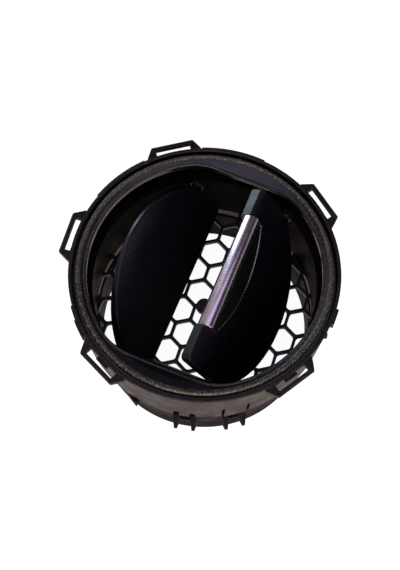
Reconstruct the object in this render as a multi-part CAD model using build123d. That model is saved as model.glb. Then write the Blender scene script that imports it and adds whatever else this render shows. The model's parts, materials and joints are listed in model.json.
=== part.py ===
from build123d import *
import math
import os

# Round dashboard air vent, lying on its back: +Z is the vent axis, out of the face.
# The origin is on the axis, at the rear end of the duct spigot. All sizes are in mm.

# Heights along the axis; a depth is measured down from the face
FACE_Z = 63.0
SPIGOT_LENGTH = 19.0
SKIRT_DEPTH = 27.0
BARREL_TOP_DEPTH = 3.6
PIVOT_DEPTH = 16.0

# Fits
RUN_GAP = 0.3
SHAFT_GAP = 0.04
SEAT_GAP = 0.02

# Collar of the front ring
COLLAR_R = 50.0
COLLAR_WALL = 1.3
COLLAR_BORE_DEPTH = 6.0
SKIRT_TAPER = 1.6
SKIRT_WALL = 1.2

# Duct spigot and rear housing
SPIGOT_STEP = 2.7
SPIGOT_WALL = 1.7
HOUSING_WALL = 1.8
HOUSING_SETBACK = 0.5
HOUSING_TAPER = 1.5
SHOULDER_RISE = 2.6
RIM_HEIGHT = 1.9

# Bezel
BEZEL_GAP = 0.35
BEZEL_LEDGE_WIDTH = 0.9
BEZEL_LEDGE_DEPTH = 2.8
BEAD_SHOULDER = 0.9
BEAD_WIDTH = 1.95
DISH_START_DEPTH = 0.42
DISH_MIDDLE_DEPTH = 1.75
DISH_END_DEPTH = 3.0
DISH_MARGIN = 1.5
APERTURE_STEP = 2.6
LIP_TOP_CUT = 3.2
LIP_LOW_CUT = 4.4
LIP_BLEND = 20.0
LIP_WIDTH = 0.9
LIP_RISE = 0.35
LIP_ROUND = 0.28

# Barrel that turns in the housing
VANE_TURN = -22.0
BARREL_MARGIN = 4.0
BARREL_WALL = 1.4
WAIST_STEP = 3.8
WAIST_WALL = 1.2
REAR_STEP = 3.6
REAR_WALL = 1.7
FLANGE_THICK = 1.8
FLANGE_REACH = 0.95
LEDGE_THICK = 1.2
LEDGE_DEPTH = 12.8
TOP_BAND = 0.9
WINDOW_STARTS = (-32, 6, 44, 98, 136, 174)
WINDOW_SPAN = 33.0
CHEEK_SETBACK = 3.8
CHEEK_WALL = 1.6
CHEEK_BEND_DEPTH = 12.5
CHEEK_SLOPE = 0.34
CHEEK_SLOPE_WALL = 1.15
CHAMBER_TOP_DEPTH = 6.5
CHAMBER_HALF = 28.0

# Friction ring on the barrel
RING_WIDTH = 1.8
RING_THICK = 1.4
RING_DEPTH = 31.0

# Vanes
DISC_GAP = 2.2
PIVOT_X = 18.3
PHOTO_TILT = 54.8
SEAM_X = -3.1
SEAM_GAP = 0.5
VANE_HALF = 2.0
VANE_BACK = 2.3
ARC_EDGE_HALF = 1.1
LEFT_ARC_MORE = 2.0
LEFT_ARC_SHIFT = 0.6
RIGHT_TOP_CUT = 1.8
LEFT_TOP_CUT = 3.7
VANE_END_GAP = 0.5
VANE_FLAT_END = 2.0
VANE_CROWN = 0.35
VANE_EDGE_TAPER = 0.1
VANE_CORNER = 2.0
NOTCH_HALF = 5.0
NOTCH_MORE = 6.0
SHAFT_R = 2.0
EDGE_ROUND = 0.7

# Pivot bushes
BUSH_WALL = 1.05
BOSS_WALL = 1.2
TOP_BOSS_SETBACK = 2.2
TOP_BOSS_LENGTH = 2.4

# Cranks and link bar behind the cheek
CRANK_ARM = 4.0
CRANK_THICK = 1.2
CRANK_HUB_R = 3.1
CRANK_EYE_R = 1.7
CRANK_GAP = 0.6
CRANK_MID_TILT = 45.0
FLAT_CUT = 1.3
PIN_R = 1.0
PIN_CAP_R = 1.25
PIN_CAP_THICK = 0.35
LINK_THICK = 1.1
LINK_GAP = 0.2
LINK_EYE_R = 1.8
LINK_WAIST = 2.2

# Handle on the right vane
HANDLE_LOW = -20.5
HANDLE_TOP = 25.5
HANDLE_RISE = 4.7
HANDLE_REAR_RISE = 3.1
HANDLE_BULGE = 13.8
HANDLE_END_WIDTH = 7.4
HANDLE_SEAT = 3.0
HANDLE_CORNER = 2.4
INLAY_EDGE = 1.0
INLAY_STRIP = 4.6
INLAY_DEPTH = 0.9
INLAY_SINK = 0.2

# Honeycomb grille
GRILLE_DEPTH = 40.0
GRILLE_THICK = 1.8
GRILLE_RIM = 1.9
GRILLE_PITCH = 10.4
GRILLE_WEB = 1.25
GRILLE_TURN = 3.9
GRILLE_SHIFT_X = -3.5
GRILLE_SHIFT_Y = 5.0
GRILLE_HUB_R = 3.2
CELL_CORNER = 1.4
SMALLEST_CELL = 7.0

# Catch loops round the collar
LOOP_ANGLES = (32, 103.4, 163.3, 223.7, 307.2)
LOOP_STAND = 3.9
LOOP_BAR = 1.6
LOOP_HALF_TOP = 7.9
LOOP_HALF_BASE = 10.4
LOOP_SLOT_HALF = 6.65
LOOP_HEIGHT = 2.2
LOOP_DEPTH = 1.0
LOOP_CATCHES = (223.7, 307.2)
CATCH_REACH = 1.1
CATCH_HALF = 2.6
CATCH_HEIGHT = 1.5

# Snap fingers of the skirt: middle angle, half width, slit width, depth of the slits' top
FINGERS = ((261.0, 1.9, 2.2, 22.0), (283.6, 4.1, 1.2, 15.0), (350.0, 4.1, 1.2, 15.0),
           (66.0, 4.1, 1.2, 15.0), (133.0, 1.9, 2.2, 22.0), (190.0, 1.9, 2.2, 22.0))
FINGER_LENGTH = 1.8
FINGER_HOOK = 1.0
HOOK_HEIGHT = 0.9

# Windows of the rear housing under the fingers, with a tapering rib at each side
WINDOW_HALF = 4.4
WINDOW_LOW_DEPTH = 40.7
RIB_OFFSET = 3.4
RIB_REACH = 3.7
RIB_BASE = 1.6
RIB_TIP = 0.6
RIB_LOW_DEPTH = 42.5
RIB_HIGH_DEPTH = 31.0

# Drain slot in the skirt
SLOT_ANGLE = 272.0
SLOT_HALF = 1.9
SLOT_DEPTH = 25.0
SLOT_HEIGHT = 1.0

# Pads and ramps on the outside: centre angle, half angle, how far they stand proud
PADS = ((130, 13, 0.5), (77, 14, 0.5), (206.5, 4, 0.9), (199, 3, 0.5), (339, 3.5, 0.9))
PAD_HEIGHT = 4.0
RAMP_START = 229.0
RAMP_END = 238.5
RAMP_REACH = 2.6
RAMP_HIGH_DEPTH = 29.0
RAMP_LOW_DEPTH = 35.0


# Room that a cutting body reaches past what it cuts
BEYOND = 8.0

# Shared heights and radii, from the collar inwards
PIVOT_Z = FACE_Z - PIVOT_DEPTH
SKIRT_END_Z = FACE_Z - SKIRT_DEPTH
COLLAR_BORE_R = COLLAR_R - COLLAR_WALL
LOOP_REACH = COLLAR_R + LOOP_STAND
SKIRT_R = COLLAR_R - SKIRT_TAPER
SKIRT_BORE_R = SKIRT_R - SKIRT_WALL
HOUSING_TOP_R = SKIRT_R - HOUSING_SETBACK
HOUSING_REAR_R = HOUSING_TOP_R - HOUSING_TAPER
SPIGOT_R = HOUSING_REAR_R - SPIGOT_STEP
BARREL_R = COLLAR_R - BARREL_MARGIN
WAIST_R = BARREL_R - WAIST_STEP
REAR_BORE_R = BARREL_R - REAR_STEP
APERTURE_R = BARREL_R - APERTURE_STEP
LIP_TOP_CHORD = APERTURE_R - LIP_TOP_CUT
LIP_LOW_CHORD = APERTURE_R - LIP_LOW_CUT
DISH_END_R = LIP_LOW_CHORD - DISH_MARGIN
CHEEK_Y = LIP_LOW_CHORD - CHEEK_SETBACK
TOP_BOSS_OUT = WAIST_R - TOP_BOSS_SETBACK
TOP_BOSS_IN = TOP_BOSS_OUT - TOP_BOSS_LENGTH
DISC_R = WAIST_R - DISC_GAP
LEFT_ARC_R = DISC_R + LEFT_ARC_MORE
VANE_TOP_RIGHT = DISC_R - RIGHT_TOP_CUT
VANE_TOP_LEFT = DISC_R - LEFT_TOP_CUT
VANE_TOP_PIVOT = TOP_BOSS_IN - RUN_GAP
VANE_LOW = CHEEK_Y - VANE_END_GAP
RIM_TOP_Z = SKIRT_END_Z + RIM_HEIGHT
FLANGE_LOW_Z = RIM_TOP_Z + RUN_GAP
FLANGE_TOP_Z = FLANGE_LOW_Z + FLANGE_THICK
FLANGE_R = BARREL_R + FLANGE_REACH
BARREL_TOP_Z = FACE_Z - BARREL_TOP_DEPTH
BARREL_BORE_R = BARREL_R - BARREL_WALL
WINDOW_TOP_Z = BARREL_TOP_Z - TOP_BAND
LEDGE_TOP_Z = FACE_Z - LEDGE_DEPTH
GRILLE_LOW_Z = SPIGOT_LENGTH + 0.6
WEB_LOW_Z = FACE_Z - GRILLE_DEPTH - GRILLE_THICK / 2
WEB_TOP_Z = WEB_LOW_Z + GRILLE_THICK
GRILLE_TOP_Z = WEB_TOP_Z + 0.2
BARREL_LOW_Z = GRILLE_TOP_Z + 0.8
RING_Z = FACE_Z - RING_DEPTH
HOUSING_BORE_R = HOUSING_REAR_R - HOUSING_WALL
CHEEK_OUT_Y = CHEEK_Y + CHEEK_WALL
CRANK_Y = CHEEK_OUT_Y + CRANK_GAP
LINK_Y = CRANK_Y + CRANK_THICK + LINK_GAP
BUSH_R = SHAFT_R + SHAFT_GAP + BUSH_WALL
WINDOW_HIGH_Z = SKIRT_END_Z - 0.5
TURN = Rot(0, 0, VANE_TURN)


def revolved(points):
    """Turn a closed outline of (radius, height) points about the vent axis."""
    return revolve(Plane.XZ * make_face(Polyline(*points, close=True)), Axis.Z, 360)


def tube(outer, inner, low, high):
    """A straight ring wall."""
    wall = Cylinder(outer, high - low) - Cylinder(inner, high - low + 2)
    return Pos(0, 0, (low + high) / 2) * wall


def block(x0, x1, y0, y1, z0, z1):
    """A box between two corners."""
    middle = Pos((x0 + x1) / 2, (y0 + y1) / 2, (z0 + z1) / 2)
    return middle * Box(x1 - x0, y1 - y0, z1 - z0)


def prism(points, low, high):
    """A plan outline extruded from one height to another."""
    return Pos(0, 0, low) * extrude(make_face(Polyline(*points, close=True)), high - low)


def rod(radius, y0, y1):
    """A round bar along the vane axis, on the local Y axis."""
    return Pos(0, (y0 + y1) / 2, 0) * Rot(90, 0, 0) * Cylinder(radius, abs(y1 - y0))


def sector(radius, start, span, low, high):
    """A wedge of space about the vent axis, for windows and pads."""
    steps = [start + span * part / 4 for part in range(5)]
    rim = [(radius * math.cos(math.radians(a)), radius * math.sin(math.radians(a))) for a in steps]
    return prism([(0, 0)] + rim, low, high)


def catch_loop():
    """One moulded loop on the +X side of the collar: legs, outer bar and slot."""
    low = FACE_Z - LOOP_DEPTH - LOOP_HEIGHT
    high = FACE_Z - LOOP_DEPTH
    root = COLLAR_R - 2.6
    outline = [(root, -LOOP_HALF_BASE), (root + 2.2, -LOOP_HALF_BASE), (LOOP_REACH, -LOOP_HALF_TOP),
               (LOOP_REACH, LOOP_HALF_TOP), (root + 2.2, LOOP_HALF_BASE), (root, LOOP_HALF_BASE)]
    body = prism(outline, low, high)
    body = chamfer(body.edges().filter_by(Axis.Y).sort_by(Axis.X)[-2:], 0.5)
    slot = block(COLLAR_R - 0.1, LOOP_REACH - LOOP_BAR, -LOOP_SLOT_HALF, LOOP_SLOT_HALF, low - 1, high + 1)
    return body - slot


def front_ring():
    """Collar, skirt, inner lip, catch loops, latch windows and pads, moulded in one."""
    lip_low = FLANGE_TOP_Z + RUN_GAP
    lip_bore = BARREL_R + 0.35
    wall = revolved([
        (COLLAR_R - 0.4, FACE_Z), (COLLAR_R, FACE_Z - 0.4), (SKIRT_R, SKIRT_END_Z),
        (SKIRT_BORE_R, SKIRT_END_Z), (FLANGE_R + 0.35, RIM_TOP_Z), (FLANGE_R + 0.35, lip_low),
        (lip_bore, lip_low), (lip_bore, lip_low + 1.2), (FLANGE_R + 0.5, lip_low + 2.2),
        (COLLAR_BORE_R, FACE_Z - COLLAR_BORE_DEPTH), (COLLAR_BORE_R, FACE_Z - 0.25), (COLLAR_BORE_R + 0.25, FACE_Z)])
    bore = Pos(0, 0, FACE_Z / 2) * Cylinder(COLLAR_BORE_R - 0.02, FACE_Z + 4)
    for angle in LOOP_ANGLES:
        wall += Rot(0, 0, angle) * (catch_loop() - bore)
    for angle, half, proud in PADS:
        ring = tube(COLLAR_R + proud, COLLAR_R - 0.8, FACE_Z - 0.6 - PAD_HEIGHT, FACE_Z - 0.6)
        wall += ring & sector(COLLAR_R + BEYOND, angle - half, 2 * half, 0, FACE_Z + 1)
    for angle in LOOP_CATCHES:
        low = FACE_Z - LOOP_DEPTH - LOOP_HEIGHT
        catch = block(COLLAR_R - 1.0, COLLAR_R + CATCH_REACH, -CATCH_HALF, CATCH_HALF, low, low + CATCH_HEIGHT)
        wall += Rot(0, 0, angle) * catch
    for angle, half, width, top_depth in FINGERS:
        slit = block(SKIRT_BORE_R - 2.2, COLLAR_R + 2, half, half + width, SKIRT_END_Z - 1, FACE_Z - top_depth)
        wall -= Rot(0, 0, angle) * (slit + mirror(slit, Plane.XZ))
        wall += Rot(0, 0, angle) * finger_end(half)
    drain_z = FACE_Z - SLOT_DEPTH
    drain = block(SKIRT_BORE_R - 1, SKIRT_R + 2, -SLOT_HALF, SLOT_HALF, drain_z - SLOT_HEIGHT, drain_z)
    return wall - Rot(0, 0, SLOT_ANGLE) * drain


def finger_end(half):
    """Lower end of a snap finger on the +X side, with the hook under the housing's rim."""
    outer = SKIRT_R - 0.2
    low = SKIRT_END_Z - FINGER_LENGTH
    tip = block(SKIRT_BORE_R + 0.15, outer, -half, half, low, SKIRT_END_Z + 0.5)
    hook = block(SKIRT_BORE_R - FINGER_HOOK, outer, -half, half, low, low + HOOK_HEIGHT)
    return tip + hook


def retention_rib():
    """Tapering rib on the +X side that grips the edge of the dashboard opening."""
    root = HOUSING_REAR_R - 0.6
    tip = HOUSING_REAR_R + RIB_REACH
    plan = [(root, -RIB_BASE), (tip, -RIB_TIP), (tip, RIB_TIP), (root, RIB_BASE)]
    low = FACE_Z - RIB_LOW_DEPTH
    high = FACE_Z - RIB_HIGH_DEPTH
    body = prism(plan, low, high)
    slope = [(root, low), (tip + 1, low), (tip, low + 2.5), (HOUSING_TOP_R - 0.4, high), (root, high)]
    side = Pos(0, 4, 0) * extrude(Plane.XZ * make_face(Polyline(*slope, close=True)), 8)
    return body & side


def rear_housing():
    """Tapering shell behind the collar, with the duct spigot, finger windows and ribs."""
    low = SPIGOT_LENGTH
    spigot_bore = SPIGOT_R - SPIGOT_WALL
    rim_r = SKIRT_BORE_R - 0.15
    wall = revolved([
        (spigot_bore, 0), (SPIGOT_R - 0.6, 0), (SPIGOT_R, 0.8), (SPIGOT_R, low - 0.4),
        (SPIGOT_R + 0.5, low + 0.1), (HOUSING_REAR_R - 0.8, low + 0.5), (HOUSING_REAR_R, low + SHOULDER_RISE),
        (HOUSING_TOP_R, SKIRT_END_Z), (rim_r, SKIRT_END_Z), (rim_r, RIM_TOP_Z),
        (HOUSING_BORE_R + 0.8, RIM_TOP_Z), (HOUSING_BORE_R, GRILLE_TOP_Z + 2),
        (HOUSING_BORE_R, GRILLE_LOW_Z), (spigot_bore, GRILLE_LOW_Z)])
    space = Pos(0, 0, RIM_TOP_Z / 2) * Cylinder(HOUSING_BORE_R + 0.2, RIM_TOP_Z + 2)
    for angle, *_ in FINGERS:
        sill_z = FACE_Z - WINDOW_LOW_DEPTH
        outer = HOUSING_TOP_R + 1
        window = block(HOUSING_BORE_R - 2, outer, -WINDOW_HALF, WINDOW_HALF, sill_z, WINDOW_HIGH_Z)
        window += block(rim_r, outer, -WINDOW_HALF, WINDOW_HALF, sill_z, SKIRT_END_Z + 1)
        wall -= Rot(0, 0, angle) * window
        for side in (-1, 1):
            wall += Rot(0, 0, angle) * Pos(0, side * RIB_OFFSET, 0) * (retention_rib() - space)
    ramp = []
    for part in range(5):
        share = part / 4
        angle = math.radians(RAMP_START + (RAMP_END - RAMP_START) * share)
        radius = HOUSING_REAR_R + RAMP_REACH * share + 0.6
        ramp.append((radius * math.cos(angle), radius * math.sin(angle)))
    for part in (4, 0):
        angle = math.radians(RAMP_START + (RAMP_END - RAMP_START) * part / 4)
        ramp.append(((HOUSING_REAR_R - 0.9) * math.cos(angle), (HOUSING_REAR_R - 0.9) * math.sin(angle)))
    wall += prism(ramp, FACE_Z - RAMP_LOW_DEPTH, FACE_Z - RAMP_HIGH_DEPTH)
    return wall


def aperture(gap):
    """The bezel opening, or the same outline a gap outside it: a circle cut by a chord at each end."""
    top = LIP_TOP_CHORD + gap
    low = LIP_LOW_CHORD + gap
    plate = Circle(APERTURE_R + gap) & Pos(0, (top - low) / 2) * Rectangle(4 * APERTURE_R, top + low)
    return fillet(plate.vertices(), LIP_BLEND + gap)


def dish_arc(start_r, rise):
    """The bezel's dished surface, from its start inwards, raised by a rise."""
    middle_r = (start_r + DISH_END_R) / 2 + 1
    return ThreePointArc((start_r, FACE_Z - DISH_START_DEPTH + rise), (middle_r, FACE_Z - DISH_MIDDLE_DEPTH + rise),
                         (DISH_END_R, FACE_Z - DISH_END_DEPTH + rise))


def bezel_ring():
    """Grained trim ring: ledge, rounded bead, dish and the raised lip of the opening."""
    base = BARREL_TOP_Z
    ledge_r = COLLAR_BORE_R - BEZEL_GAP
    ledge_z = FACE_Z - BEZEL_LEDGE_DEPTH
    bead_r = ledge_r - BEZEL_LEDGE_WIDTH
    dish_r = bead_r - BEAD_WIDTH
    crest_r = bead_r - BEAD_SHOULDER
    foot = Polyline((DISH_END_R, FACE_Z - DISH_END_DEPTH), (DISH_END_R, base), (ledge_r, base),
                    (ledge_r, ledge_z), (bead_r, ledge_z), (bead_r, FACE_Z - BEAD_SHOULDER))
    shoulder = ThreePointArc((bead_r, FACE_Z - BEAD_SHOULDER), (bead_r - 0.26, FACE_Z - 0.26), (crest_r, FACE_Z))
    crest = ThreePointArc((crest_r, FACE_Z), ((crest_r + dish_r) / 2, FACE_Z - 0.1), (dish_r, FACE_Z - DISH_START_DEPTH))
    ring = revolve(Plane.XZ * make_face([foot, shoulder, crest, dish_arc(dish_r, 0)]), Axis.Z, 360)
    opening = Pos(0, 0, base - 1) * extrude(aperture(0), 6)
    band = Pos(0, 0, base) * extrude(aperture(LIP_WIDTH) - aperture(0), 6)
    under = Polyline((DISH_END_R, FACE_Z - DISH_END_DEPTH + LIP_RISE), (DISH_END_R, base + 0.2), (dish_r, base + 0.2),
                     (dish_r, FACE_Z - DISH_START_DEPTH + LIP_RISE))
    lip = band & revolve(Plane.XZ * make_face([under, dish_arc(dish_r, LIP_RISE)]), Axis.Z, 360)
    top_edges = [e for e in lip.edges() if e.center().Z > base + 0.6 and e.length > 4]
    return TURN * (ring - opening + fillet(top_edges, LIP_ROUND))


def barrel_outline(radius, chord):
    """Round plan outline with one flat side, where the link works behind the cheek."""
    return Circle(radius) & Pos(0, radius - chord) * Rectangle(4 * radius, 2 * radius)


def wall_between(outer, inner, low, high):
    """A wall between two plan outlines."""
    return Pos(0, 0, low) * extrude(outer - inner, high - low)


def cheek():
    """Wall between the vanes and the linkage: upright, then leaning out to the roof over the cranks."""
    bend_z = FACE_Z - CHEEK_BEND_DEPTH
    roof_z = FACE_Z - CHAMBER_TOP_DEPTH
    top_y = CHEEK_Y + CHEEK_SLOPE * (BARREL_TOP_Z - bend_z)
    roof_y = CHEEK_Y + CHEEK_SLOPE * (roof_z - bend_z) + CHEEK_SLOPE_WALL
    out_bend_z = bend_z + (CHEEK_WALL - CHEEK_SLOPE_WALL) / CHEEK_SLOPE
    profile = [(-CHEEK_Y, FLANGE_LOW_Z), (-CHEEK_Y, bend_z), (-top_y, BARREL_TOP_Z), (-BARREL_R, BARREL_TOP_Z),
               (-BARREL_R, roof_z), (-roof_y, roof_z), (-CHEEK_OUT_Y, out_bend_z), (-CHEEK_OUT_Y, FLANGE_LOW_Z)]
    wall = extrude(Plane.YZ * make_face(Polyline(*profile, close=True)), BARREL_R, both=True)
    return wall & Pos(0, 0, FACE_Z / 2) * Cylinder(BARREL_R, FACE_Z)


def barrel_body():
    """Turning barrel: windowed upper wall, waist, running flange, rear wall and cheek."""
    upper = tube(BARREL_R, BARREL_BORE_R, LEDGE_TOP_Z - LEDGE_THICK, BARREL_TOP_Z)
    for start in WINDOW_STARTS:
        upper -= sector(BARREL_R + 4, start, WINDOW_SPAN, LEDGE_TOP_Z, WINDOW_TOP_Z)
    waist_out = barrel_outline(WAIST_R + WAIST_WALL, CHEEK_OUT_Y)
    waist_in = barrel_outline(WAIST_R, CHEEK_Y)
    body = upper
    body += wall_between(waist_out, waist_in, FLANGE_LOW_Z, LEDGE_TOP_Z)
    body += wall_between(Circle(BARREL_R), waist_in, LEDGE_TOP_Z - LEDGE_THICK, LEDGE_TOP_Z)
    body += wall_between(Circle(FLANGE_R), Circle(WAIST_R), FLANGE_LOW_Z, FLANGE_TOP_Z)
    rear_out = REAR_BORE_R + REAR_WALL
    body += tube(rear_out, REAR_BORE_R, BARREL_LOW_Z, FLANGE_LOW_Z + 0.6)
    groove_r = rear_out - RING_THICK / 2
    body -= tube(rear_out + 1, groove_r, RING_Z, RING_Z + RING_WIDTH)
    chamber = block(-CHAMBER_HALF, CHAMBER_HALF, -BARREL_R - 4, -CHEEK_OUT_Y, FLANGE_TOP_Z + 0.2, BARREL_TOP_Z + 1)
    body -= chamber
    body += cheek()
    for side in (-1, 1):
        place = Pos(side * PIVOT_X, 0, PIVOT_Z)
        boss_r = BUSH_R + BOSS_WALL
        body += place * rod(boss_r, TOP_BOSS_IN, TOP_BOSS_OUT)
        body += place * rod(boss_r, -CHEEK_OUT_Y, -CHEEK_Y)
        body -= place * rod(BUSH_R, TOP_BOSS_IN - 2, TOP_BOSS_OUT + 2)
        body -= place * rod(BUSH_R, -CHEEK_OUT_Y - 1, -CHEEK_Y + 1)
    return TURN * body


def friction_ring():
    """Soft ring in the barrel's groove, which steadies the turning barrel."""
    rear_out = REAR_BORE_R + REAR_WALL
    inner = rear_out - RING_THICK / 2 + SEAT_GAP
    return tube(inner + RING_THICK - 0.35, inner, RING_Z + SEAT_GAP, RING_Z + RING_WIDTH - SEAT_GAP)


def pivot_bush(x, y0, y1):
    """Plain sleeve that a vane shaft turns in."""
    sleeve = rod(BUSH_R, y0, y1) - rod(SHAFT_R + SHAFT_GAP, y0 - 1, y1 + 1)
    return TURN * (Pos(x, 0, PIVOT_Z) * sleeve)


def vane_blank(straight, top, arc_r, arc_shift):
    """Flat vane in its closed pose about its pivot; the straight edge is towards -X."""
    arc = DISC_R - PIVOT_X
    section = [
        Line((-straight, VANE_EDGE_TAPER - VANE_HALF), (-straight, VANE_HALF)),
        Line((-straight, VANE_HALF), (-VANE_FLAT_END, VANE_HALF)),
        ThreePointArc((-VANE_FLAT_END, VANE_HALF), (arc * 0.55, VANE_HALF - VANE_CROWN), (arc, ARC_EDGE_HALF)),
        Line((arc, ARC_EDGE_HALF), (arc, -ARC_EDGE_HALF)),
        ThreePointArc((arc, -ARC_EDGE_HALF), (0, -VANE_BACK), (-straight, VANE_EDGE_TAPER - VANE_HALF)),
    ]
    slab = extrude(Plane.XZ * make_face(section), DISC_R + BEYOND, both=True)
    disc = Pos(arc - arc_r, arc_shift) * Circle(arc_r)
    width = straight + arc
    plate = disc & Pos(arc - width / 2, (top - VANE_LOW) / 2) * Rectangle(width, top + VANE_LOW)
    corners = plate.vertices().filter_by(lambda v: v.X < 0)
    plate = fillet(corners, VANE_CORNER)
    prism_body = Pos(0, 0, -BEYOND) * extrude(plate, 2 * BEYOND)
    vane = slab & prism_body
    vane -= block(-NOTCH_HALF, NOTCH_HALF + NOTCH_MORE, VANE_TOP_PIVOT, top + BEYOND, -BEYOND, BEYOND)
    return fillet(arc_rim(vane, arc - arc_r, arc_shift, arc_r), EDGE_ROUND)


def vane_shafts():
    """Stub shafts, plain at the top and flatted for the crank at the lower end."""
    crank_end = CRANK_Y + CRANK_THICK
    shafts = rod(SHAFT_R, VANE_TOP_PIVOT - 3, TOP_BOSS_OUT + 0.6)
    low = rod(SHAFT_R, -crank_end, -VANE_LOW + 3)
    low -= block(FLAT_CUT, 5, -crank_end - 1, -CHEEK_OUT_Y - 0.15, -5, 5)
    return shafts + low


def arc_rim(vane, centre_x, centre_y, radius):
    """The long curved rim edges of a vane."""
    rim = []
    for edge in vane.edges().filter_by(lambda e: e.length > 8):
        points = [edge @ share for share in (0.0, 0.5, 1.0)]
        if all(abs(math.hypot(p.X - centre_x, p.Y - centre_y) - radius) < 0.01 for p in points):
            rim.append(edge)
    return rim


def tilted(side, flat):
    """Put a flat vane piece on its pivot at the pose of the photograph."""
    return TURN * (Pos(side * PIVOT_X, 0, PIVOT_Z) * Rot(0, PHOTO_TILT, 0) * flat)


def right_vane_flat():
    """Right vane, thick at its straight edge, with the seat for the handle."""
    straight = PIVOT_X - SEAM_X - SEAM_GAP / 2
    vane = vane_blank(straight, VANE_TOP_RIGHT, DISC_R, 0)
    seat = block(-straight - 1, -straight + HANDLE_SEAT, HANDLE_LOW, HANDLE_TOP, -BEYOND, BEYOND)
    return vane - seat + vane_shafts()


def left_vane_flat():
    """Left vane: the same form turned end for end about its pivot, without a handle."""
    straight = PIVOT_X + SEAM_X - SEAM_GAP / 2
    vane = vane_blank(straight, VANE_TOP_LEFT, LEFT_ARC_R, LEFT_ARC_SHIFT)
    return mirror(vane, Plane.YZ) + vane_shafts()


def handle_outline(edge_gap):
    """Plan outline of the handle on the vane: straight at the edge, bulging inwards."""
    straight = PIVOT_X - SEAM_X - SEAM_GAP / 2 - edge_gap
    middle = (HANDLE_LOW + HANDLE_TOP) / 2
    low = HANDLE_LOW + edge_gap
    top = HANDLE_TOP - edge_gap
    end_x = -(PIVOT_X - SEAM_X) + HANDLE_END_WIDTH - edge_gap
    bulge_x = -(PIVOT_X - SEAM_X) + HANDLE_BULGE - edge_gap
    outline = [Polyline((end_x, low), (-straight, low), (-straight, top), (end_x, top)),
               ThreePointArc((end_x, top), (bulge_x, middle), (end_x, low))]
    return fillet(make_face(outline).vertices(), HANDLE_CORNER - edge_gap)


def slope_height(x):
    """Height of the handle's sloping top over the vane's mid plane."""
    straight = PIVOT_X - SEAM_X
    share = (x + straight) / HANDLE_BULGE
    return HANDLE_RISE - (HANDLE_RISE - HANDLE_REAR_RISE) * share


def handle_flat():
    """Satin handle shell: a rounded nose along the vane's edge and a thin D-shaped pad."""
    straight = PIVOT_X - SEAM_X - SEAM_GAP / 2
    reach = -straight + HANDLE_BULGE + 1
    step = -straight + HANDLE_SEAT
    section = [(-straight, -VANE_HALF), (-straight, slope_height(-straight)), (reach, slope_height(reach)),
               (reach, VANE_HALF + SEAT_GAP), (step, VANE_HALF + SEAT_GAP), (step, -VANE_HALF)]
    body = extrude(Plane.XZ * make_face(Polyline(*section, close=True)), DISC_R, both=True)
    body = body & Pos(0, 0, -BEYOND) * extrude(handle_outline(0), 2 * BEYOND)
    nose = [e for e in body.edges() if e.length > 30 and (e @ 0.5).X < -straight + 0.05]
    nose = sorted(nose, key=lambda e: (e @ 0.5).Z)
    body = fillet(nose[-1], 1.9)
    low_nose = [e for e in body.edges() if e.length > 30 and (e @ 0.5).X < -straight + 0.05 and (e @ 0.5).Z < 0]
    body = fillet(low_nose, 1.2)
    return body - inlay_space(4)


def inlay_space(rise):
    """The room of the inlay on the handle's slope, up to a rise over its floor."""
    straight = PIVOT_X - SEAM_X
    x0 = -straight + INLAY_STRIP
    x1 = -straight + HANDLE_BULGE + 1
    floor = -INLAY_DEPTH
    section = [(x0, slope_height(x0) + floor), (x1, slope_height(x1) + floor),
               (x1, slope_height(x1) + floor + rise), (x0, slope_height(x0) + floor + rise)]
    space = extrude(Plane.XZ * make_face(Polyline(*section, close=True)), DISC_R, both=True)
    return space & Pos(0, 0, -BEYOND) * extrude(handle_outline(INLAY_EDGE), 2 * BEYOND)


def crank_flat():
    """Crank arm pushed on the flatted shaft, with its pin; local frame of the pivot."""
    direction = math.radians(CRANK_MID_TILT)
    pin_x = -CRANK_ARM * math.cos(direction)
    pin_z = CRANK_ARM * math.sin(direction)
    y0 = -(CRANK_Y + CRANK_THICK)
    y1 = -CRANK_Y
    arm = rod(CRANK_HUB_R, y0, y1) + Pos(pin_x, 0, pin_z) * rod(CRANK_EYE_R, y0, y1)
    web = block(-CRANK_ARM, 0, y0, y1, -CRANK_EYE_R, CRANK_EYE_R)
    arm += Rot(0, CRANK_MID_TILT, 0) * web
    bore = rod(SHAFT_R + SEAT_GAP, y0 - 1, y1 + 1)
    bore -= block(FLAT_CUT + SEAT_GAP, 5, y0 - 2, y1 + 2, -5, 5)
    link_out = LINK_Y + LINK_THICK
    pin = Pos(pin_x, 0, pin_z) * rod(PIN_R, -(link_out + 0.15), y0)
    cap = Pos(pin_x, 0, pin_z) * rod(PIN_CAP_R, -(link_out + 0.15 + PIN_CAP_THICK), -(link_out + 0.15))
    return arm - bore + pin + cap


def link_bar():
    """Flat bar that ties the two crank pins together."""
    direction = math.radians(CRANK_MID_TILT + PHOTO_TILT)
    pin_x = -CRANK_ARM * math.cos(direction)
    pin_z = PIVOT_Z + CRANK_ARM * math.sin(direction)
    y0 = -(LINK_Y + LINK_THICK)
    y1 = -LINK_Y
    half = LINK_WAIST / 2
    bar = block(pin_x - PIVOT_X, pin_x + PIVOT_X, y0, y1, pin_z - half, pin_z + half)
    for side in (-1, 1):
        place = Pos(pin_x + side * PIVOT_X, 0, pin_z)
        bar += place * rod(LINK_EYE_R, y0, y1)
        bar -= place * rod(PIN_R + SHAFT_GAP, y0 - 1, y1 + 1)
    return TURN * bar


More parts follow.
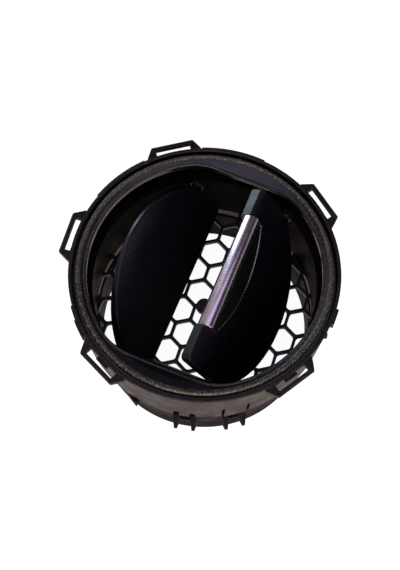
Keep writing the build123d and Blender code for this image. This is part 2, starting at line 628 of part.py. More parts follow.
def honeycomb_grille():
    """Round grille: a seating rim and thin webs round six-sided cells, with a hub at the middle."""
    rim_r = HOUSING_BORE_R - 0.1
    field_r = rim_r - GRILLE_RIM
    cell_r = (GRILLE_PITCH - GRILLE_WEB) / math.sqrt(3)
    row_step = GRILLE_PITCH * math.sqrt(3) / 2
    field = Circle(field_r) - Circle(GRILLE_HUB_R)
    outline = RegularPolygon(cell_r, 6, rotation=90)
    outline = fillet(outline.vertices(), CELL_CORNER)
    rows = int(field_r / row_step) + 2
    holes = []
    for row in range(-rows, rows + 1):
        for column in range(-rows, rows + 1):
            x = GRILLE_SHIFT_X + GRILLE_PITCH * (column + 0.5 * (row % 2))
            y = GRILLE_SHIFT_Y + row_step * row
            if math.hypot(x, y) > field_r + cell_r:
                continue
            for face in (field & Pos(x, y) * outline).faces():
                if face.area > SMALLEST_CELL:
                    holes.append(extrude(face, GRILLE_THICK + 2))
    web = Cylinder(rim_r, GRILLE_THICK) - [Pos(0, 0, -GRILLE_THICK / 2 - 1) * hole for hole in holes]
    plate = Pos(0, 0, (WEB_LOW_Z + WEB_TOP_Z) / 2) * web
    plate += tube(rim_r, field_r, GRILLE_LOW_Z, GRILLE_TOP_Z)
    return Rot(0, 0, VANE_TURN + GRILLE_TURN) * plate


pieces = {
    "front_ring": front_ring(),
    "rear_housing": rear_housing(),
    "honeycomb_grille": honeycomb_grille(),
    "bezel_ring": bezel_ring(),
    "barrel_body": barrel_body(),
    "barrel_friction_ring": friction_ring(),
    "right_vane": tilted(1, right_vane_flat()),
    "left_vane": tilted(-1, left_vane_flat()),
    "handle_trim": tilted(1, handle_flat()),
    "handle_inlay": tilted(1, inlay_space(INLAY_DEPTH - INLAY_SINK)),
    "right_crank": tilted(1, crank_flat()),
    "left_crank": tilted(-1, crank_flat()),
    "link_bar": link_bar(),
    "right_top_bush": pivot_bush(PIVOT_X, TOP_BOSS_IN - 0.3, TOP_BOSS_OUT),
    "left_top_bush": pivot_bush(-PIVOT_X, TOP_BOSS_IN - 0.3, TOP_BOSS_OUT),
    "right_low_bush": pivot_bush(PIVOT_X, -CHEEK_OUT_Y, -CHEEK_Y + 0.2),
    "left_low_bush": pivot_bush(-PIVOT_X, -CHEEK_OUT_Y, -CHEEK_Y + 0.2),
}

os.makedirs("parts", exist_ok=True)
for name, shape in pieces.items():
    export_step(shape, f"parts/{name}.step")
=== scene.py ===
import json
import math
import bmesh
import bpy
from mathutils import Matrix, Vector


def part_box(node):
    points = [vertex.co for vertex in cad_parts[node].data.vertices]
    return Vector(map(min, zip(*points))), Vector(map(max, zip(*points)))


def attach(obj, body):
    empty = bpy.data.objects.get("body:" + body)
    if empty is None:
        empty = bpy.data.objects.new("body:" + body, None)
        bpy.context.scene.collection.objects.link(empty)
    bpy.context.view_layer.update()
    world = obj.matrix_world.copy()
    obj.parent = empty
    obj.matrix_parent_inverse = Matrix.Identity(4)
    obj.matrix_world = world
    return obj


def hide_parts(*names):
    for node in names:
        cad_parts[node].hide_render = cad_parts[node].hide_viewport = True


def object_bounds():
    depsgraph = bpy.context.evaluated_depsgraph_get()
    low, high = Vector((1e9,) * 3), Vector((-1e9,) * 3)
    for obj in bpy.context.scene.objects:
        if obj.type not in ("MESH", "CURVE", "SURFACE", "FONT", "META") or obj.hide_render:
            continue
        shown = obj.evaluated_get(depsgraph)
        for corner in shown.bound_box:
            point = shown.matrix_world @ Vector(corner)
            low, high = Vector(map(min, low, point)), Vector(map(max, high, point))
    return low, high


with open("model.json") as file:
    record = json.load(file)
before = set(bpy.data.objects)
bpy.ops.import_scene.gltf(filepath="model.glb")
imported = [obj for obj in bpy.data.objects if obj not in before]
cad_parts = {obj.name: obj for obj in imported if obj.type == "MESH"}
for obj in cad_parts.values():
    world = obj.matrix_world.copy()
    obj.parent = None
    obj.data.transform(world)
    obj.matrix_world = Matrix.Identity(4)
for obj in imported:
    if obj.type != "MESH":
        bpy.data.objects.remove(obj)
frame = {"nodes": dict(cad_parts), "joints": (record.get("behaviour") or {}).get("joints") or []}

cad_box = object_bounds()
nodes = frame["nodes"]
bpy.ops.object.select_all(action="DESELECT")


# The rear housing is a thin tapering shell of matt black glass-filled plastic, moulded in one
# piece with the duct spigot. It is clipped behind the front ring by the ring's six snap fingers.
def new_group(name, inputs, outputs):
    """An empty shader node group with named inputs and outputs."""
    group = bpy.data.node_groups.new(name, "ShaderNodeTree")
    for label, value in inputs.items():
        socket = group.interface.new_socket(label, in_out="INPUT", socket_type="NodeSocketFloat")
        socket.default_value = value
    for label, kind in outputs.items():
        group.interface.new_socket(label, in_out="OUTPUT", socket_type=kind)
    return group, group.nodes.new("NodeGroupInput"), group.nodes.new("NodeGroupOutput")


def math_node(tree, operation, first, second):
    """A Math node fed by sockets or plain numbers."""
    node = tree.nodes.new("ShaderNodeMath")
    node.operation = operation
    for socket, value in zip(node.inputs, (first, second)):
        if isinstance(value, (int, float)):
            socket.default_value = value
        else:
            tree.links.new(value, socket)
    return node.outputs[0]


def stretched(tree, value, low, high, to_low=0.0, to_high=1.0):
    """A Map Range node from low..high to to_low..to_high."""
    node = tree.nodes.new("ShaderNodeMapRange")
    tree.links.new(value, node.inputs["Value"])
    node.inputs["From Min"].default_value = low
    node.inputs["From Max"].default_value = high
    node.inputs["To Min"].default_value = to_low
    node.inputs["To Max"].default_value = to_high
    return node.outputs["Result"]


def noise(tree, vector, scale, detail):
    """A Noise Texture's value on a vector."""
    node = tree.nodes.new("ShaderNodeTexNoise")
    node.inputs["Scale"].default_value = scale
    node.inputs["Detail"].default_value = detail
    tree.links.new(vector, node.inputs["Vector"])
    return node.outputs[0]


FINE_GRAIN_SCALE = 2.3
FINE_GRAIN_SHARE = 0.6
SPECKLE_SCALE = 0.8


def moulded_grain_group():
    """Spark-eroded grain of a mould: rounded pits of one size, with a finer one between."""
    group, entry, end = new_group("moulded_grain", {"Size": 0.0005},
                                  {"Height": "NodeSocketFloat", "Speckle": "NodeSocketFloat"})
    place = group.nodes.new("ShaderNodeTexCoord").outputs["Object"]
    per_metre = math_node(group, "DIVIDE", 1.0, entry.outputs["Size"])
    spread = group.nodes.new("ShaderNodeVectorMath")
    spread.operation = "SCALE"
    group.links.new(place, spread.inputs[0])
    group.links.new(per_metre, spread.inputs["Scale"])
    cells = group.nodes.new("ShaderNodeTexVoronoi")
    cells.feature = "SMOOTH_F1"
    cells.inputs["Scale"].default_value = 1.0
    group.links.new(spread.outputs[0], cells.inputs["Vector"])
    fine = noise(group, spread.outputs[0], FINE_GRAIN_SCALE, 3.0)
    height = math_node(group, "ADD", cells.outputs["Distance"],
                       math_node(group, "MULTIPLY", fine, FINE_GRAIN_SHARE))
    group.links.new(height, end.inputs["Height"])
    patches = noise(group, spread.outputs[0], SPECKLE_SCALE, 2.0)
    group.links.new(stretched(group, patches, 0.52, 0.66), end.inputs["Speckle"])
    return group


EDGE_LIKENESS = (0.995, 0.86)
WORN_BREAK_SCALE = 900.0


def edge_wear_and_highlight_group():
    """Rubbed edges: a rounded normal at each edge, and a broken mask where it turns, which lightens
    edges as rubbing and, on the bezel, as a painted highlight.
    """
    group, entry, end = new_group("edge_wear", {"Width": 0.0003},
                                  {"Edge": "NodeSocketFloat", "Normal": "NodeSocketVector"})
    rounded = group.nodes.new("ShaderNodeBevel")
    rounded.samples = 4
    group.links.new(entry.outputs["Width"], rounded.inputs["Radius"])
    flat = group.nodes.new("ShaderNodeNewGeometry")
    likeness = group.nodes.new("ShaderNodeVectorMath")
    likeness.operation = "DOT_PRODUCT"
    group.links.new(rounded.outputs["Normal"], likeness.inputs[0])
    group.links.new(flat.outputs["Normal"], likeness.inputs[1])
    turn = stretched(group, likeness.outputs["Value"], *EDGE_LIKENESS)
    place = group.nodes.new("ShaderNodeTexCoord").outputs["Object"]
    broken = stretched(group, noise(group, place, WORN_BREAK_SCALE, 4.0), 0.35, 0.6)
    group.links.new(math_node(group, "MULTIPLY", turn, broken), end.inputs["Edge"])
    group.links.new(rounded.outputs["Normal"], end.inputs["Normal"])
    return group


DRIFT_SCALE = 60.0
SPECK_SCALE = 2600.0


def dust_group():
    """Fine dust that has settled in drifts on faces that look up, with a few coarser specks."""
    group, entry, end = new_group("settled_dust", {"Amount": 0.1}, {"Dust": "NodeSocketFloat"})
    place = group.nodes.new("ShaderNodeTexCoord").outputs["Object"]
    facing = group.nodes.new("ShaderNodeSeparateXYZ")
    group.links.new(group.nodes.new("ShaderNodeNewGeometry").outputs["Normal"], facing.inputs[0])
    upward = stretched(group, facing.outputs["Z"], 0.1, 0.9)
    drift = stretched(group, noise(group, place, DRIFT_SCALE, 5.0), 0.4, 0.7)
    specks = stretched(group, noise(group, place, SPECK_SCALE, 1.0), 0.68, 0.74)
    lying = math_node(group, "MULTIPLY", upward, math_node(group, "ADD", drift, specks))
    group.links.new(math_node(group, "MULTIPLY", lying, entry.outputs["Amount"]), end.inputs["Dust"])
    return group


moulded_grain = moulded_grain_group()
edge_wear = edge_wear_and_highlight_group()
settled_dust = dust_group()


def placed_group(tree, group, **values):
    """A group placed in a material with its own values."""
    node = tree.nodes.new("ShaderNodeGroup")
    node.node_tree = group
    for label, value in values.items():
        node.inputs[label].default_value = value
    return node


def tinted(tree, mask, under, over):
    """A colour that turns from one to another where the mask is high."""
    node = tree.nodes.new("ShaderNodeMix")
    node.data_type = "RGBA"
    tree.links.new(mask, node.inputs["Factor"])
    for socket, colour in ((node.inputs["A"], under), (node.inputs["B"], over)):
        if isinstance(colour, tuple):
            socket.default_value = (*colour, 1)
        else:
            tree.links.new(colour, socket)
    return node.outputs["Result"]


DUST_COLOUR = (0.16, 0.15, 0.14)
UNEVEN_SCALE = 140.0
RUBBED_GLOSS = -0.12
COAT_ROUGHNESS = 0.12
GRAIN_STRENGTH = 0.6


def moulded_plastic(name, colour, speckle_colour, worn_and_highlight_colour, rough, specular, grain_size, grain_depth,
                    edge_width=0.0003, dust=0.05, coat=0.0):
    """A moulded plastic with its grain, lightened edges (rubbed, and on the bezel a painted highlight),
    uneven gloss and settled dust.
    """
    finish = bpy.data.materials.new(name)
    finish.use_nodes = True
    tree = finish.node_tree
    skin = tree.nodes["Principled BSDF"]
    grain = placed_group(tree, moulded_grain, Size=grain_size)
    wear_and_highlight = placed_group(tree, edge_wear, Width=edge_width)
    lying = placed_group(tree, settled_dust, Amount=dust)
    base = tinted(tree, grain.outputs["Speckle"], colour, speckle_colour)
    # Lightened edges: rubbed on most pieces, and a painted highlight on the bezel's lip and bead edges.
    base = tinted(tree, wear_and_highlight.outputs["Edge"], base, worn_and_highlight_colour)
    base = tinted(tree, lying.outputs["Dust"], base, DUST_COLOUR)
    tree.links.new(base, skin.inputs["Base Color"])
    place = tree.nodes.new("ShaderNodeTexCoord").outputs["Object"]
    uneven = stretched(tree, noise(tree, place, UNEVEN_SCALE, 4.0), 0.3, 0.7, rough[0], rough[1])
    rubbed = math_node(tree, "MULTIPLY", wear_and_highlight.outputs["Edge"], RUBBED_GLOSS)
    tree.links.new(math_node(tree, "ADD", uneven, rubbed), skin.inputs["Roughness"])
    skin.inputs["Specular IOR Level"].default_value = specular
    skin.inputs["Coat Weight"].default_value = coat
    skin.inputs["Coat Roughness"].default_value = COAT_ROUGHNESS
    relief = tree.nodes.new("ShaderNodeBump")
    relief.inputs["Strength"].default_value = GRAIN_STRENGTH
    relief.inputs["Distance"].default_value = grain_depth
    tree.links.new(grain.outputs["Height"], relief.inputs["Height"])
    tree.links.new(wear_and_highlight.outputs["Normal"], relief.inputs["Normal"])
    tree.links.new(relief.outputs["Normal"], skin.inputs["Normal"])
    return finish


def dress(node_name, finish):
    """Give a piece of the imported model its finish."""
    piece = nodes[node_name]
    piece.data.materials.clear()
    piece.data.materials.append(finish)


dress("rear_housing", moulded_plastic(
    "housing_black", colour=(0.0045, 0.0032, 0.0062), speckle_colour=(0.009, 0.0068, 0.0112),
    worn_and_highlight_colour=(0.03, 0.025, 0.029), rough=(0.5, 0.66), specular=0.02,
    grain_size=0.0006, grain_depth=0.00004))


# The honeycomb grille is a flat lattice of black plastic webs in a seating rim. It keeps things
# from falling into the duct, and is pressed into the rear housing in front of the spigot.
dress("honeycomb_grille", moulded_plastic(
    "grille_black", colour=(0.004, 0.004, 0.004), speckle_colour=(0.007, 0.007, 0.007),
    worn_and_highlight_colour=(0.02, 0.02, 0.02), rough=(0.42, 0.55), specular=0.3,
    grain_size=0.0007, grain_depth=0.00003, edge_width=0.00025))


# The front ring is the collar of the vent: skirt, centring pads, snap fingers and five catch
# loops in one moulding of matt black plastic, held in the dashboard by its loops.
dress("front_ring", moulded_plastic(
    "collar_black", colour=(0.0055, 0.0042, 0.0052), speckle_colour=(0.019, 0.0145, 0.016),
    worn_and_highlight_colour=(0.05, 0.044, 0.044), rough=(0.4, 0.58), specular=0.11,
    grain_size=0.0007, grain_depth=0.0001))


# The barrel carries the vanes and turns by its flange between the front ring and the housing.
# It is a satin black moulding, with a leaning cheek that hides the linkage.
dress("barrel_body", moulded_plastic(
    "barrel_satin", colour=(0.0028, 0.0026, 0.002), speckle_colour=(0.005, 0.0046, 0.0034),
    worn_and_highlight_colour=(0.02, 0.018, 0.013), rough=(0.4, 0.55), specular=0.004,
    grain_size=0.0009, grain_depth=0.00002, dust=0.01))


# A soft black rubber ring sits in a groove of the barrel. It rubs on the housing, so that the
# barrel stays where it is turned to.
dress("barrel_friction_ring", moulded_plastic(
    "soft_ring_rubber", colour=(0.012, 0.012, 0.012), speckle_colour=(0.02, 0.02, 0.02),
    worn_and_highlight_colour=(0.03, 0.03, 0.03), rough=(0.75, 0.9), specular=0.3,
    grain_size=0.0004, grain_depth=0.00003))


# Four acetal sleeves carry the vane shafts, the top two of them black, where they show. Behind the
# cheek, two cranks and a link bar tie the vanes together. All are pushed in place, without screws.
black_acetal = moulded_plastic(
    "black_acetal", colour=(0.012, 0.012, 0.013), speckle_colour=(0.018, 0.018, 0.019),
    worn_and_highlight_colour=(0.05, 0.05, 0.05), rough=(0.28, 0.4), specular=0.4,
    grain_size=0.0012, grain_depth=0.00001, edge_width=0.00015, dust=0.01)
for name in ("right_top_bush", "left_top_bush"):
    dress(name, black_acetal)
natural_acetal = moulded_plastic(
    "natural_acetal", colour=(0.50, 0.50, 0.47), speckle_colour=(0.56, 0.56, 0.53),
    worn_and_highlight_colour=(0.62, 0.62, 0.6), rough=(0.3, 0.42), specular=0.5,
    grain_size=0.0012, grain_depth=0.00001, edge_width=0.00015)
for name in ("right_low_bush", "left_low_bush", "right_crank", "left_crank", "link_bar"):
    dress(name, natural_acetal)


# The two vanes are lens-shaped half discs of black plastic, moulded with their stub shafts and
# left smooth, so that they show a satin gloss.
vane_black = moulded_plastic(
    "vane_black", colour=(0.002, 0.0018, 0.0042), speckle_colour=(0.003, 0.0028, 0.0058),
    worn_and_highlight_colour=(0.024, 0.024, 0.03), rough=(0.24, 0.33), specular=0.42,
    grain_size=0.0012, grain_depth=0.000005, edge_width=0.0004, dust=0.01)
dress("right_vane", vane_black)
dress("left_vane", vane_black)


# The bezel is the trim ring round the opening, pushed on the barrel's top. Its bead has a coarse grain
# with painted glints in its colour, the dish a finer dark one, the ledge under the bead is smooth and
# darkened as painted shade, and its edges carry a painted highlight.
BEAD_INNER_R = 0.0455
LEDGE_SINK = 0.0018
LEDGE_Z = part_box("bezel_ring")[1][2] - LEDGE_SINK
BLEND_WIDTH = 0.0002
DISH_GRAIN_DEPTH = 0.00003
BEAD_GRAIN_DEPTH = 0.00018
PIT_SIZE = 0.0004
# Painted glint colour for the bead's grain; the next colour is painted shade for the ledge under the
# bead.
PAINTED_GLINT_COLOUR = (0.155, 0.134, 0.094)
# Painted shade colour for the ledge under the bead and everything below it.
PAINTED_SHADE_COLOUR = (0.001, 0.001, 0.0012)


def bezel_grain():
    """Plastic with grain, painted glints on the bead, dark in the dish, and painted shade on the ledge
    under the bead and below it.
    """
    # The light edge colour here is a painted highlight along the lip and the bead's edges.
    finish = moulded_plastic(
        "bezel_grain", colour=(0.003, 0.0028, 0.0062), speckle_colour=(0.0065, 0.006, 0.009),
        worn_and_highlight_colour=(0.11, 0.102, 0.082), rough=(0.2, 0.29), specular=0.4,
        grain_size=0.00055, grain_depth=BEAD_GRAIN_DEPTH, edge_width=0.0005)
    tree = finish.node_tree
    skin = tree.nodes["Principled BSDF"]
    place = tree.nodes.new("ShaderNodeTexCoord").outputs["Object"]
    axes = tree.nodes.new("ShaderNodeSeparateXYZ")
    tree.links.new(place, axes.inputs[0])
    across = math_node(tree, "ADD", math_node(tree, "POWER", axes.outputs["X"], 2.0),
                       math_node(tree, "POWER", axes.outputs["Y"], 2.0))
    radius = math_node(tree, "SQRT", across, 0.0)
    outside = stretched(tree, radius, BEAD_INNER_R - BLEND_WIDTH, BEAD_INNER_R + BLEND_WIDTH)
    above = stretched(tree, axes.outputs["Z"], LEDGE_Z - BLEND_WIDTH, LEDGE_Z + BLEND_WIDTH)
    on_bead = math_node(tree, "MULTIPLY", outside, above)
    depth = stretched(tree, on_bead, 0.0, 1.0, DISH_GRAIN_DEPTH, BEAD_GRAIN_DEPTH)
    tree.links.new(depth, tree.nodes["Bump"].inputs["Distance"])
    pits = placed_group(tree, moulded_grain, Size=PIT_SIZE)
    # Painted glints: a bright colour over the bead, standing in for light caught by its grain.
    painted_glints = math_node(tree, "MULTIPLY", on_bead,
                        stretched(tree, pits.outputs["Speckle"], 0.0, 0.7, 0.1, 1.0))
    plain = skin.inputs["Base Color"].links[0].from_socket
    with_painted_glints = tinted(tree, painted_glints, plain, PAINTED_GLINT_COLOUR)
    # Painted shade: the ledge under the bead and everything below it are darkened.
    painted_shade = stretched(tree, above, 0.0, 1.0, 1.0, 0.0)
    tree.links.new(tinted(tree, painted_shade, with_painted_glints, PAINTED_SHADE_COLOUR), skin.inputs["Base Color"])
    return finish


dress("bezel_ring", bezel_grain())


# The handle is a shell of plated plastic that hooks round the right vane's free edge, with a full
# round nose to pull on and a D-shaped recess. The satin plating is a little uneven in gloss.
vane_joint = next(joint for joint in frame["joints"] if joint["name"] == "vane_tilt")
VANE_TURN = math.atan2(-vane_joint["axis"][0], vane_joint["axis"][1])
VANE_TILT = math.radians(90.0 - vane_joint["range_deg"][1])
on_right_vane = (Matrix.Translation(vane_joint["pos_m"]) @ Matrix.Rotation(VANE_TURN, 4, "Z")
                 @ Matrix.Rotation(VANE_TILT, 4, "Y"))
HANDLE_EDGE_X = -0.02115
HANDLE_LOW_Y = -0.0205
HANDLE_TOP_Y = 0.0255
HANDLE_TIP_X = -0.0076
HANDLE_ARC_R = 0.0445
HANDLE_RISE = 0.0047
HANDLE_SLOPE = Vector((1.6, 0.0, 13.8)).normalized()
HANDLE_EDGE_ROUND = 0.00035
EDGE_SEGMENTS = 4
VANE_FACE_Z = 0.0020
NOSE_STEP_X = -0.01815
NOSE_TOP_ROUND = 0.0032
NOSE_LOW_ROUND = 0.0024
NOSE_SEGMENTS = 14
BAR_SIDES = 360
BAR_LENGTH = 0.04
NEAR = 0.000001


def cut_off(point, normal):
    """Cut all of the mesh in edit mode by a plane, drop what the normal points to and close it."""
    bpy.ops.mesh.select_all(action="SELECT")
    bpy.ops.mesh.bisect(plane_co=point, plane_no=normal, use_fill=True, clear_outer=True, threshold=NEAR)


def d_plate(name, tip_x, arc_r, edge_x, low_y, top_y, floor, top):
    """A D-shaped plate in the vane's flat frame, turned from a round bar and left in edit mode."""
    middle = (low_y + top_y) / 2
    bpy.ops.object.select_all(action="DESELECT")
    bpy.ops.mesh.primitive_cylinder_add(vertices=BAR_SIDES, radius=arc_r, depth=BAR_LENGTH,
                                        location=(tip_x - arc_r, middle, 0))
    plate = bpy.context.object
    plate.name = name
    bpy.ops.object.transform_apply(location=True, rotation=False, scale=False)
    bpy.ops.object.mode_set(mode="EDIT")
    cut_off((edge_x, 0, 0), (-1, 0, 0))
    cut_off((0, top_y, 0), (0, 1, 0))
    cut_off((0, low_y, 0), (0, -1, 0))
    cut_off((HANDLE_EDGE_X, 0, top), HANDLE_SLOPE)
    cut_off((HANDLE_EDGE_X, 0, floor[0]), floor[1])
    return plate


def pick(kind, test):
    """Select the faces or edges of the mesh in edit mode that pass a test on their middle or ends."""
    bpy.ops.mesh.select_mode(type="FACE" if kind == "faces" else "EDGE")
    bpy.ops.mesh.select_all(action="DESELECT")
    mesh = bmesh.from_edit_mesh(bpy.context.object.data)
    for item in getattr(mesh, kind):
        if test(item):
            item.select_set(True)
    mesh.select_flush_mode()
    bmesh.update_edit_mesh(bpy.context.object.data)


LONG_EDGE = 0.04


def long_nose_edge(rank):
    """The lowest (0) or highest (-1) lengthwise edge on the handle's free side."""
    mesh = bmesh.from_edit_mesh(bpy.context.object.data)
    free = [e for e in mesh.edges if e.calc_length() > LONG_EDGE
            and all(abs(v.co.x - HANDLE_EDGE_X) < 2 * NEAR for v in e.verts)]
    return sorted(free, key=lambda e: e.verts[0].co.z)[rank].index


def settled(piece, place, edge_round):
    """Round a piece's edges, put it in its place and leave its object at the origin."""
    bpy.ops.object.mode_set(mode="OBJECT")
    rounding = piece.modifiers.new("edge_round", "BEVEL")
    rounding.width = edge_round
    rounding.segments = EDGE_SEGMENTS
    rounding.angle_limit = math.radians(35.0)
    bpy.ops.object.modifier_apply(modifier="edge_round")
    piece.matrix_world = place
    bpy.ops.object.transform_apply(location=True, rotation=True, scale=True)
    bpy.ops.object.mode_set(mode="EDIT")
    bpy.ops.mesh.select_all(action="SELECT")
    bpy.ops.mesh.remove_doubles(threshold=0.000002)
    bpy.ops.mesh.normals_make_consistent(inside=False)
    bpy.ops.object.mode_set(mode="OBJECT")
    bpy.ops.object.shade_smooth_by_angle(angle=math.radians(40.0))
    bpy.ops.object.select_all(action="DESELECT")


INLAY_EDGE_X = -0.0168
INLAY_TIP_X = -0.0086
INLAY_ARC_R = 0.0410
INLAY_LOW_Y = -0.0195
INLAY_TOP_Y = 0.0245
INLAY_DEPTH = 0.0009
RECESS_OPEN = 0.005
recess = d_plate("handle_recess", INLAY_TIP_X, INLAY_ARC_R, INLAY_EDGE_X, INLAY_LOW_Y, INLAY_TOP_Y,
                 (HANDLE_RISE - INLAY_DEPTH, -HANDLE_SLOPE), HANDLE_RISE + RECESS_OPEN)
bpy.ops.object.mode_set(mode="OBJECT")
handle = d_plate("handle_shell", HANDLE_TIP_X, HANDLE_ARC_R, HANDLE_EDGE_X, HANDLE_LOW_Y, HANDLE_TOP_Y,
                 (VANE_FACE_Z, Vector((0, 0, -1))), HANDLE_RISE)
bpy.ops.mesh.select_all(action="SELECT")
bpy.ops.mesh.bisect(plane_co=(NOSE_STEP_X, 0, 0), plane_no=(1, 0, 0), threshold=NEAR)
pick("faces", lambda face: face.normal.z < -0.9 and face.calc_center_median().x < NOSE_STEP_X)
bpy.ops.mesh.extrude_region_move(TRANSFORM_OT_translate={"value": (0, 0, -2 * VANE_FACE_Z)})
bpy.ops.mesh.select_all(action="SELECT")
bpy.ops.mesh.dissolve_limited(angle_limit=math.radians(0.2))
for rank, nose_round in ((-1, NOSE_TOP_ROUND), (0, NOSE_LOW_ROUND)):
    chosen = long_nose_edge(rank)
    pick("edges", lambda edge: edge.index == chosen)
    bpy.ops.mesh.bevel(offset=nose_round, segments=NOSE_SEGMENTS, profile=0.5, affect="EDGES",
                       clamp_overlap=False)
bpy.ops.object.mode_set(mode="OBJECT")
pocket = handle.modifiers.new("pocket", "BOOLEAN")
pocket.operation = "DIFFERENCE"
pocket.solver = "EXACT"
pocket.object = recess
bpy.context.view_layer.objects.active = handle
bpy.ops.object.modifier_apply(modifier="pocket")
bpy.data.objects.remove(recess)
settled(handle, on_right_vane, HANDLE_EDGE_ROUND)


PLATING_DARK = (0.46, 0.38, 0.44)
PLATING_LIGHT = (0.56, 0.47, 0.52)
BRUSH_SCALE = (2600.0, 60.0, 2600.0)
CLOUD_SCALE = 90.0
BRUSH_STRENGTH = 0.25
BRUSH_DEPTH = 0.000005
PLATING_EDGE = 0.0004


def satin_plating():
    """Satin chrome over plastic, with a soft lengthwise brushing."""
    finish = bpy.data.materials.new("satin_plating")
    finish.use_nodes = True
    tree = finish.node_tree
    skin = tree.nodes["Principled BSDF"]
    skin.inputs["Metallic"].default_value = 1.0
    place = tree.nodes.new("ShaderNodeTexCoord").outputs["Object"]
    along = tree.nodes.new("ShaderNodeMapping")
    along.inputs["Rotation"].default_value = (0, 0, -VANE_TURN)
    along.inputs["Scale"].default_value = BRUSH_SCALE
    tree.links.new(place, along.inputs["Vector"])
    lines = noise(tree, along.outputs["Vector"], 1.0, 3.0)
    clouds = noise(tree, place, CLOUD_SCALE, 3.0)
    tone = stretched(tree, clouds, 0.3, 0.7)
    tree.links.new(tinted(tree, tone, PLATING_DARK, PLATING_LIGHT), skin.inputs["Base Color"])
    gloss = math_node(tree, "ADD", stretched(tree, lines, 0.3, 0.7, 0.17, 0.24),
                      stretched(tree, clouds, 0.3, 0.7, 0.0, 0.06))
    tree.links.new(gloss, skin.inputs["Roughness"])
    relief = tree.nodes.new("ShaderNodeBump")
    relief.inputs["Strength"].default_value = BRUSH_STRENGTH
    relief.inputs["Distance"].default_value = BRUSH_DEPTH
    wear_and_highlight = placed_group(tree, edge_wear, Width=PLATING_EDGE)
    tree.links.new(lines, relief.inputs["Height"])
    tree.links.new(wear_and_highlight.outputs["Normal"], relief.inputs["Normal"])
    tree.links.new(relief.outputs["Normal"], skin.inputs["Normal"])
    return finish


handle.data.materials.append(satin_plating())
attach(handle, "right_flap")
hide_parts("handle_trim")


# The inlay is a D-shaped pad of gloss black plastic, glued in the handle's recess. It is plain,
# stands a little under the rim, and its polished edge is rounded all round.
INLAY_FIT = 0.00005
INLAY_SINK = 0.0002
INLAY_EDGE_ROUND = 0.00025
inlay = d_plate("handle_pad", INLAY_TIP_X - INLAY_FIT, INLAY_ARC_R, INLAY_EDGE_X + INLAY_FIT,
                INLAY_LOW_Y + INLAY_FIT, INLAY_TOP_Y - INLAY_FIT,
                (HANDLE_RISE - INLAY_DEPTH, -HANDLE_SLOPE), HANDLE_RISE - INLAY_SINK)
settled(inlay, on_right_vane, INLAY_EDGE_ROUND)
inlay.data.materials.append(moulded_plastic(
    "inlay_gloss", colour=(0.004, 0.004, 0.0045), speckle_colour=(0.005, 0.005, 0.0055),
    worn_and_highlight_colour=(0.02, 0.02, 0.02), rough=(0.12, 0.2), specular=0.5,
    grain_size=0.002, grain_depth=0.000003, edge_width=0.0002, dust=0.01, coat=0.5))
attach(inlay, "right_flap")
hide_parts("handle_inlay")


# The floor is a wide sheet of pale matt paper that the vent lies on. It shows white to the camera
# and in reflections, and still takes the vent's soft shadow.
FLOOR_SIZE = 12.0
FLOOR_GLOW = 0.95
FLOOR_SEEN = (1.0, 1.0, 1.0)
FLOOR_REFLECTED = (1.0, 0.84, 0.78)
PAPER_TONE = 0.3


def floor_finish():
    """A matt paper that glows white for the camera, and a little warm in reflections."""
    finish = bpy.data.materials.new("pale_floor")
    finish.use_nodes = True
    tree = finish.node_tree
    tree.nodes.clear()
    out = tree.nodes.new("ShaderNodeOutputMaterial")
    path = tree.nodes.new("ShaderNodeLightPath")
    seen = math_node(tree, "MAXIMUM", path.outputs["Is Camera Ray"], path.outputs["Is Glossy Ray"])
    seen = math_node(tree, "MAXIMUM", seen, path.outputs["Is Transmission Ray"])
    glow = tree.nodes.new("ShaderNodeEmission")
    glow.inputs["Strength"].default_value = FLOOR_GLOW
    hue = tinted(tree, path.outputs["Is Camera Ray"], FLOOR_REFLECTED, FLOOR_SEEN)
    tree.links.new(hue, glow.inputs["Color"])
    paper = tree.nodes.new("ShaderNodeBsdfDiffuse")
    paper.inputs["Color"].default_value = (PAPER_TONE, PAPER_TONE, PAPER_TONE, 1)
    both = tree.nodes.new("ShaderNodeAddShader")
    tree.links.new(glow.outputs[0], both.inputs[0])
    tree.links.new(paper.outputs[0], both.inputs[1])
    mix = tree.nodes.new("ShaderNodeMixShader")
    tree.links.new(seen, mix.inputs["Fac"])
    tree.links.new(paper.outputs[0], mix.inputs[1])
    tree.links.new(both.outputs[0], mix.inputs[2])
    tree.links.new(mix.outputs[0], out.inputs["Surface"])
    return finish


bpy.ops.mesh.primitive_plane_add(size=FLOOR_SIZE, location=(0, 0, cad_box[0].z))
floor = bpy.context.object
floor.name = "studio_floor"
floor.data.materials.append(floor_finish())
bpy.ops.object.transform_apply(location=True, rotation=True, scale=True)


# The camera stands 400 mm from the face and 69 degrees above it, as the photograph does.
# Its lens gives the photograph's frame of 400 by 570 on a 36 mm sensor.
CAMERA_DISTANCE = 0.400
CAMERA_HEIGHT_DEG = 69.05
CAMERA_TARGET = (-0.001688, -0.00605, 0.063)
FOCAL_PIXELS = 1100.8
FRAME_HEIGHT_PIXELS = 570
SENSOR = 36.0
camera_data = bpy.data.cameras.new("studio_camera")
camera = bpy.data.objects.new("studio_camera", camera_data)
bpy.context.scene.collection.objects.link(camera)
camera_data.sensor_width = SENSOR
camera_data.lens = SENSOR * FOCAL_PIXELS / FRAME_HEIGHT_PIXELS
camera_data.clip_start = 0.01
rise = math.radians(CAMERA_HEIGHT_DEG)
away = Vector((0, -math.cos(rise), math.sin(rise)))
camera.location = Vector(CAMERA_TARGET) + away * CAMERA_DISTANCE
camera.rotation_euler = (-away).to_track_quat("-Z", "Y").to_euler()
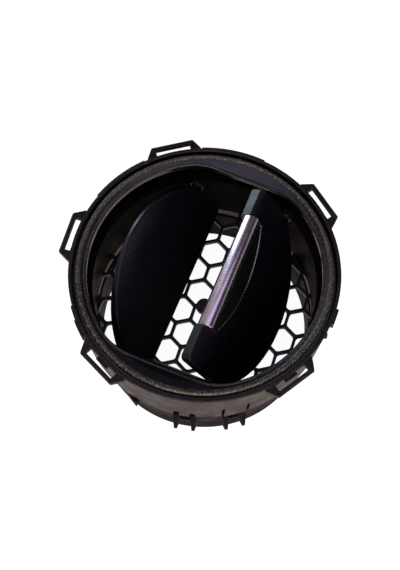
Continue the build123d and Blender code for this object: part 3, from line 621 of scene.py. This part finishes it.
bpy.context.scene.camera = camera


# Soft studio light: a large bluish panel overhead, a dim mauve one and a small cool one at the
# back left, a warm strip low at the front, and a dim surround that is paler at the horizon.
LIT_POINT = Vector((0, 0, 0.04))


def soft_lamp(name, place, size, watts, colour):
    """A rectangular panel lamp that faces the vent."""
    lamp = bpy.data.lights.new(name, "AREA")
    lamp.shape = "RECTANGLE"
    lamp.size, lamp.size_y = size
    lamp.energy = watts
    lamp.color = colour
    holder = bpy.data.objects.new(name, lamp)
    bpy.context.scene.collection.objects.link(holder)
    holder.location = place
    aim = LIT_POINT - Vector(place)
    holder.rotation_euler = aim.to_track_quat("-Z", "Y").to_euler()


soft_lamp("overhead_panel", (0.0, -0.06, 1.05), (1.1, 0.8), 3.8, (0.78, 0.72, 1.0))
soft_lamp("back_left_high", (-0.56, 0.58, 0.66), (0.5, 0.8), 0.85, (1.0, 0.87, 0.98))
soft_lamp("back_left_low", (-0.393, 0.58, 0.21), (0.17, 0.3), 1.2, (0.55, 0.78, 1.0))
soft_lamp("front_strip", (0.0, -1.0, 0.42), (1.2, 0.34), 15.0, (1.0, 0.88, 0.7))


ROOM_COLOUR = (0.045, 0.047, 0.055)
HORIZON_COLOUR = (0.85, 0.85, 0.88)
HORIZON_TOP = 0.28


def studio_surround():
    """A dim even surround, paler towards the horizon all round."""
    surround = bpy.data.worlds.new("studio_surround")
    surround.use_nodes = True
    tree = surround.node_tree
    sky = tree.nodes["Background"]
    view = tree.nodes.new("ShaderNodeTexCoord").outputs["Generated"]
    height = tree.nodes.new("ShaderNodeSeparateXYZ")
    tree.links.new(view, height.inputs[0])
    pale = stretched(tree, height.outputs["Z"], 0.0, HORIZON_TOP, 1.0, 0.0)
    tree.links.new(tinted(tree, pale, ROOM_COLOUR, HORIZON_COLOUR), sky.inputs["Color"])
    return surround


bpy.context.scene.world = studio_surround()


# Colours show as they are written.
bpy.context.scene.view_settings.view_transform = "Standard"
